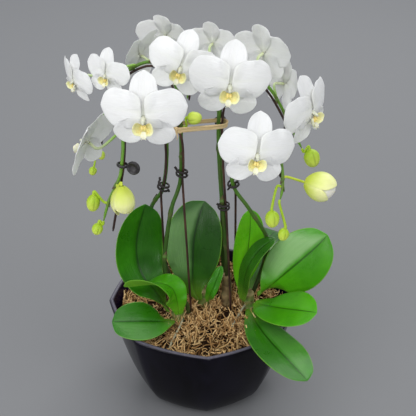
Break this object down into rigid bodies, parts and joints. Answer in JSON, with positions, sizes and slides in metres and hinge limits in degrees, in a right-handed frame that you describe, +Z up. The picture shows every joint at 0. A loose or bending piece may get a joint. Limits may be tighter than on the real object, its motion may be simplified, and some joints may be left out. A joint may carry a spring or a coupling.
{
  "type": "potted orchid",
  "caption": "White moth orchid plants in a glossy dark glazed bowl, their arching flower spikes tied to wire stakes over broad green leaves.",
  "frame": {"origin": "middle of the flat underside of the bowl, on the surface it stands on", "axes": "+Z up out of the bowl; the most open flowers face -Y"},
  "size_m": [0.2534, 0.2531, 0.4157],
  "materials": {
    "glaze": "glossy navy glaze",
    "fibre": "loose dry plant fibre",
    "leaf": "waxy live leaf",
    "stem": "smooth live stem",
    "sheath": "dry leaf bases",
    "petal": "soft white petal",
    "bud": "soft yellow-green bud",
    "wire": "dark plastic-coated wire",
    "tie": "paper and plastic over soft wire",
    "raffia": "dry flat fibre",
    "clip": "moulded plastic"
  },
  "bodies": {
    "root": {"bowl": "glaze", "bud_01": "bud", "bud_02": "bud", "bud_03": "bud", "bud_04": "bud", "bud_05": "bud", "bud_06": "bud", "bud_07": "bud", "bud_08": "bud", "button_clip": "clip", "crown_centre": "stem", "crown_left": "stem", "crown_right": "stem", "flower_01": "petal", "flower_02": "petal", "flower_03": "petal", "flower_04": "petal", "flower_05": "petal", "flower_06": "petal", "flower_07": "petal", "flower_08": "petal", "flower_09": "petal", "flower_10": "petal", "flower_11": "petal", "flower_12": "petal", "flower_13": "petal", "leaf_centre_back": "leaf", "leaf_centre_narrow": "leaf", "leaf_centre_tall": "leaf", "leaf_left_bent": "leaf", "leaf_left_low": "leaf", "leaf_left_upright": "leaf", "leaf_right_back": "leaf", "leaf_right_bright": "leaf", "leaf_right_broad": "leaf", "leaf_right_edge_on": "leaf", "leaf_right_forward": "leaf", "leaf_right_hanging": "leaf", "opening_bud_left": "bud", "opening_bud_right": "bud", "planting_medium": "fibre", "raffia_tie": "raffia", "sheathed_stem": "sheath", "spike_back": "stem", "spike_left_back": "stem", "spike_left_front": "stem", "spike_middle_right": "stem", "spike_right_front": "stem", "tie_back_1": "tie", "tie_left_back_1": "tie", "tie_left_back_2": "tie", "tie_left_front_1": "tie", "tie_middle_right_1": "tie", "tie_middle_right_2": "tie", "tie_right_front_1": "tie", "wire_back": "wire", "wire_left_back": "wire", "wire_left_front": "wire", "wire_middle_right": "wire", "wire_right_front": "wire"}
  },
  "joints": []
}
